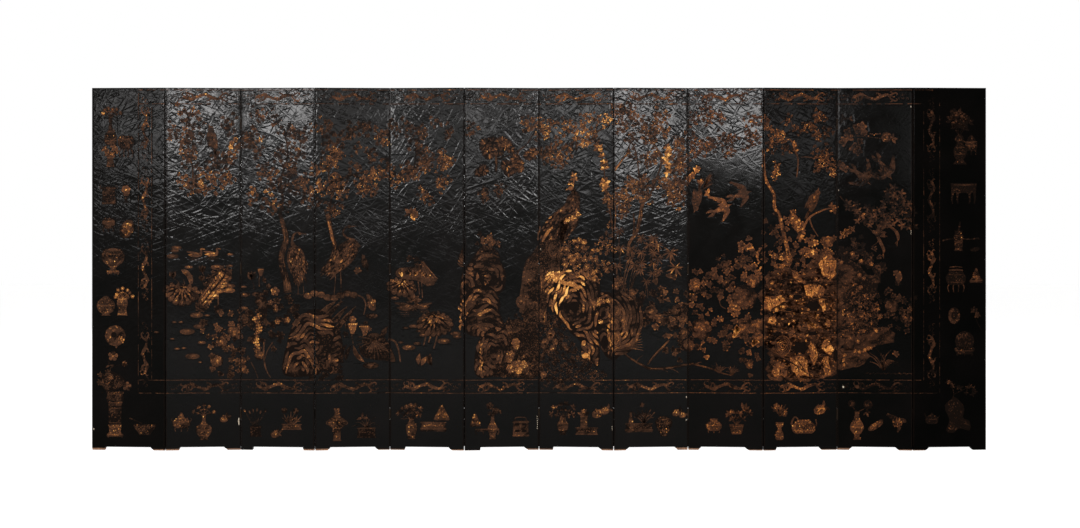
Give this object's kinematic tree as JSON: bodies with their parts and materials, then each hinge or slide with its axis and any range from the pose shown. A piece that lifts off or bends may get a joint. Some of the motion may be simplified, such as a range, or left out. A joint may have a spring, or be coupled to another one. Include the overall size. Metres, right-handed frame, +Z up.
{
  "type": "folding screen",
  "caption": "Tall folding screen of equal lacquered board leaves on cut-out feet, joined edge to edge by loose-pin barrel hinges.",
  "frame": {"origin": "middle of the screen's outer box, on the floor that its feet stand on", "axes": "+X along the screen from leaf 1 on the viewer's left to leaf 12 on the right, -Y out of the decorated face towards the viewer, +Z up"},
  "size_m": [5.2862, 0.0448, 2.14],
  "materials": {
    "lacquer": "black lacquer rubbed to a gloss, crumpled and crackled with age",
    "wood": "bare softwood, brown with age, worn at the feet",
    "brass": "brass tarnished almost black",
    "iron": "hand-made iron nails, rusted brown",
    "gilding": "decoration in brown lacquer and worn gold"
  },
  "bodies": {
    "leaf_01": {"leaf_01_core": "wood", "leaf_01_lacquer": "lacquer", "leaf_01_hinge_plates": "brass", "leaf_01_hinge_nails": "iron", "leaf_01_hinge_pins": "brass"},
    "leaf_02": {"leaf_02_core": "wood", "leaf_02_lacquer": "lacquer", "leaf_02_hinge_plates": "brass", "leaf_02_hinge_nails": "iron", "leaf_02_hinge_pins": "brass"},
    "leaf_03": {"leaf_03_core": "wood", "leaf_03_lacquer": "lacquer", "leaf_03_hinge_plates": "brass", "leaf_03_hinge_nails": "iron", "leaf_03_hinge_pins": "brass"},
    "leaf_04": {"leaf_04_core": "wood", "leaf_04_lacquer": "lacquer", "leaf_04_hinge_plates": "brass", "leaf_04_hinge_nails": "iron", "leaf_04_hinge_pins": "brass"},
    "leaf_05": {"leaf_05_core": "wood", "leaf_05_lacquer": "lacquer", "leaf_05_hinge_plates": "brass", "leaf_05_hinge_nails": "iron", "leaf_05_hinge_pins": "brass"},
    "leaf_06": {"leaf_06_core": "wood", "leaf_06_lacquer": "lacquer", "leaf_06_hinge_plates": "brass", "leaf_06_hinge_nails": "iron", "leaf_06_hinge_pins": "brass"},
    "leaf_07": {"leaf_07_core": "wood", "leaf_07_lacquer": "lacquer", "leaf_07_hinge_plates": "brass", "leaf_07_hinge_nails": "iron", "leaf_07_hinge_pins": "brass"},
    "leaf_08": {"leaf_08_core": "wood", "leaf_08_lacquer": "lacquer", "leaf_08_hinge_plates": "brass", "leaf_08_hinge_nails": "iron", "leaf_08_hinge_pins": "brass"},
    "leaf_09": {"leaf_09_core": "wood", "leaf_09_lacquer": "lacquer", "leaf_09_hinge_plates": "brass", "leaf_09_hinge_nails": "iron", "leaf_09_hinge_pins": "brass"},
    "leaf_10": {"leaf_10_core": "wood", "leaf_10_lacquer": "lacquer", "leaf_10_hinge_plates": "brass", "leaf_10_hinge_nails": "iron", "leaf_10_hinge_pins": "brass"},
    "leaf_11": {"leaf_11_core": "wood", "leaf_11_lacquer": "lacquer", "leaf_11_hinge_plates": "brass", "leaf_11_hinge_nails": "iron", "leaf_11_hinge_pins": "brass"},
    "leaf_12": {"leaf_12_core": "wood", "leaf_12_lacquer": "lacquer", "leaf_12_hinge_plates": "brass", "leaf_12_hinge_nails": "iron"}
  },
  "joints": [
    {"name": "fold_01", "type": "hinge", "parent": "leaf_01", "child": "leaf_02", "pos_m": [-2.20353, 0.00097, 0], "axis": [0, 0, 1], "range_deg": [-6, 174]},
    {"name": "fold_02", "type": "hinge", "parent": "leaf_02", "child": "leaf_03", "pos_m": [-1.76282, -0.00097, 0], "axis": [0, 0, -1], "range_deg": [-6, 174]},
    {"name": "fold_03", "type": "hinge", "parent": "leaf_03", "child": "leaf_04", "pos_m": [-1.32212, 0.00097, 0], "axis": [0, 0, 1], "range_deg": [-6, 174]},
    {"name": "fold_04", "type": "hinge", "parent": "leaf_04", "child": "leaf_05", "pos_m": [-0.88141, -0.00097, 0], "axis": [0, 0, -1], "range_deg": [-6, 174]},
    {"name": "fold_05", "type": "hinge", "parent": "leaf_05", "child": "leaf_06", "pos_m": [-0.44071, 0.00097, 0], "axis": [0, 0, 1], "range_deg": [-6, 174]},
    {"name": "fold_06", "type": "hinge", "parent": "leaf_06", "child": "leaf_07", "pos_m": [0, -0.00097, 0], "axis": [0, 0, -1], "range_deg": [-6, 174]},
    {"name": "fold_07", "type": "hinge", "parent": "leaf_07", "child": "leaf_08", "pos_m": [0.44071, 0.00097, 0], "axis": [0, 0, 1], "range_deg": [-6, 174]},
    {"name": "fold_08", "type": "hinge", "parent": "leaf_08", "child": "leaf_09", "pos_m": [0.88141, -0.00097, 0], "axis": [0, 0, -1], "range_deg": [-6, 174]},
    {"name": "fold_09", "type": "hinge", "parent": "leaf_09", "child": "leaf_10", "pos_m": [1.32212, 0.00097, 0], "axis": [0, 0, 1], "range_deg": [-6, 174]},
    {"name": "fold_10", "type": "hinge", "parent": "leaf_10", "child": "leaf_11", "pos_m": [1.76282, -0.00097, 0], "axis": [0, 0, -1], "range_deg": [-6, 174]},
    {"name": "fold_11", "type": "hinge", "parent": "leaf_11", "child": "leaf_12", "pos_m": [2.20353, 0.00097, 0], "axis": [0, 0, 1], "range_deg": [-6, 174]}
  ]
}
